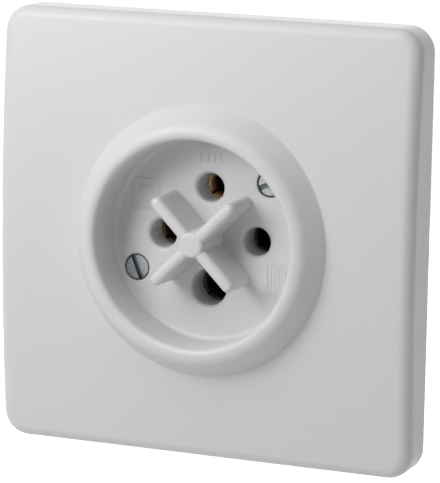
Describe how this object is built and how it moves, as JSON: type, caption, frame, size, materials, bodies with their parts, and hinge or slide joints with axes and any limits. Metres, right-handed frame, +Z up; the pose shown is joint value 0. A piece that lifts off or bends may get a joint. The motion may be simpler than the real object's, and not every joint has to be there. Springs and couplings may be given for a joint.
{
  "type": "three-phase wall socket",
  "caption": "Flush three-phase wall socket: square white cover, raised round collar, recess with an X-shaped cross and round pin holes.",
  "frame": {"origin": "midway between the box screws, on the plane of the wall", "axes": "-Y out of the wall towards the user, +Z up, +X to the user's right"},
  "size_m": [0.085, 0.0455, 0.085],
  "materials": {
    "cover_plastic": "satin white moulding",
    "base_plastic": "dark thermoset moulding",
    "rear_plastic": "dark grey moulding",
    "frame_steel": "zinc-plated",
    "brass": "turned",
    "spring_steel": "tempered",
    "screw_steel": "zinc-plated"
  },
  "bodies": {
    "root": {"base": "base_plastic", "contact_earth": "brass", "contact_l1": "brass", "contact_l2": "brass", "contact_l3": "brass", "cover": "cover_plastic", "cover_screw_lower_left": "screw_steel", "cover_screw_upper_right": "screw_steel", "frame_screw_lower_right": "screw_steel", "frame_screw_upper_left": "screw_steel", "insert_lower_left": "brass", "insert_upper_right": "brass", "mounting_frame": "frame_steel", "rear_cover": "rear_plastic", "rear_screw_lower_right": "screw_steel", "rear_screw_upper_left": "screw_steel", "spring_ring_earth": "spring_steel", "spring_ring_l1": "spring_steel", "spring_ring_l2": "spring_steel", "spring_ring_l3": "spring_steel", "terminal_screw_earth": "screw_steel", "terminal_screw_l1": "screw_steel", "terminal_screw_l2": "screw_steel", "terminal_screw_l3": "screw_steel"}
  },
  "joints": []
}
